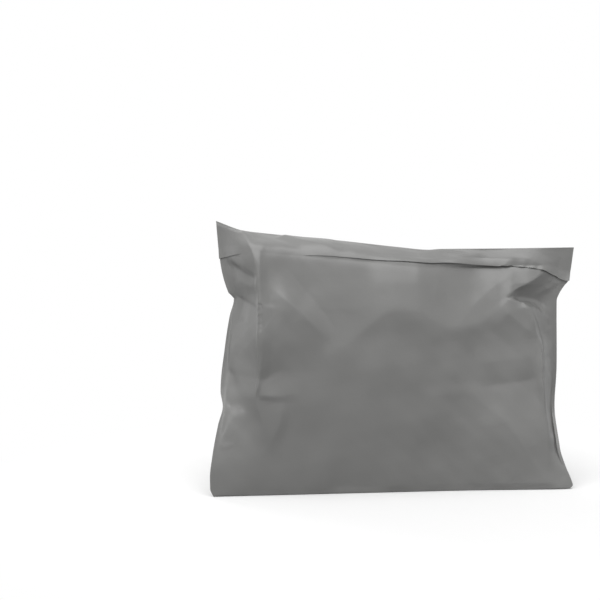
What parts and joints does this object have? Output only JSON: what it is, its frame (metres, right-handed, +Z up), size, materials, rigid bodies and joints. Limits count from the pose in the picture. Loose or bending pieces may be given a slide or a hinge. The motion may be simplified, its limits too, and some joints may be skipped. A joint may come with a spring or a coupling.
{
  "type": "poly mailer bag",
  "caption": "Filled grey poly mailer bag with welded sides and its flap folded over and stuck down, standing on its bottom.",
  "frame": {"origin": "on the floor, under the middle of the bag's box", "axes": "+X along the top fold, to the right as the flap side is seen; +Y towards the back panel; +Z up"},
  "size_m": [0.3758, 0.0834, 0.2722],
  "materials": {
    "film": "satin grey polyethylene film"
  },
  "bodies": {
    "root": {"mailer_bag": "film"}
  },
  "joints": []
}
